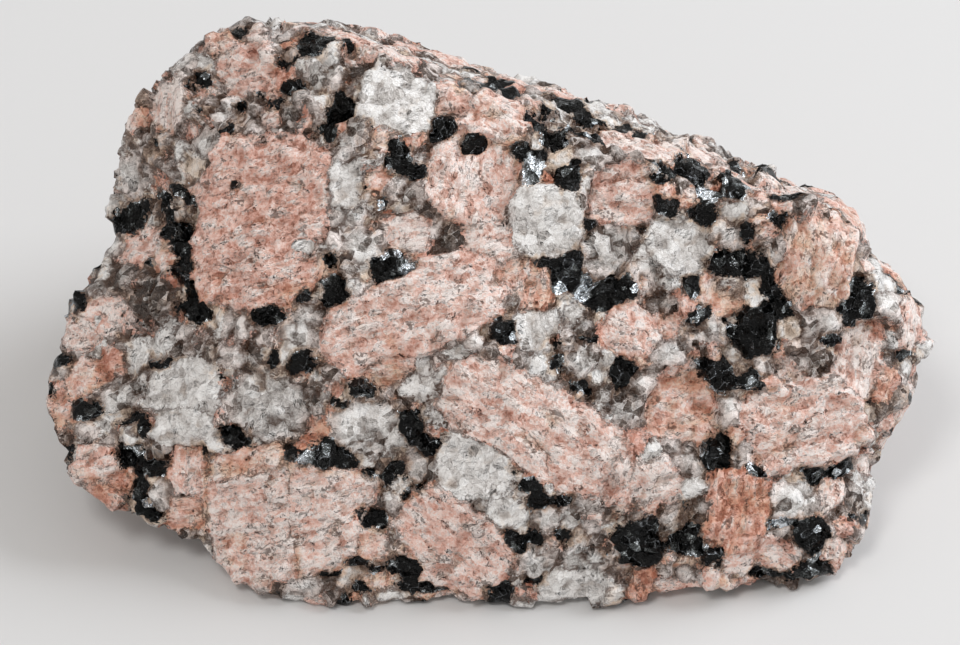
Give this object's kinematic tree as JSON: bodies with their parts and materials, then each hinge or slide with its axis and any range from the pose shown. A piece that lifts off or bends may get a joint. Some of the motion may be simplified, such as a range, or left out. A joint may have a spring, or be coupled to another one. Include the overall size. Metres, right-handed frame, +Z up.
{
  "type": "granite rock specimen",
  "caption": "Rough hand specimen of coarse pink granite, broken on all sides, that lies on a small flat of its underside for display, study or scene dressing.",
  "frame": {"origin": "middle of the underside, at the height of the flat that the stone lies on", "axes": "+Z up; +X along the stone's length, towards its blunt right end as seen from the broad face; +Y towards the back, away from the broad leaning face"},
  "size_m": [0.1071, 0.0724, 0.0511],
  "materials": {
    "granite": "rough broken granite: pink feldspar, grey glassy quartz, white feldspar and glossy black mica"
  },
  "bodies": {
    "root": {"granite": "granite"}
  },
  "joints": []
}
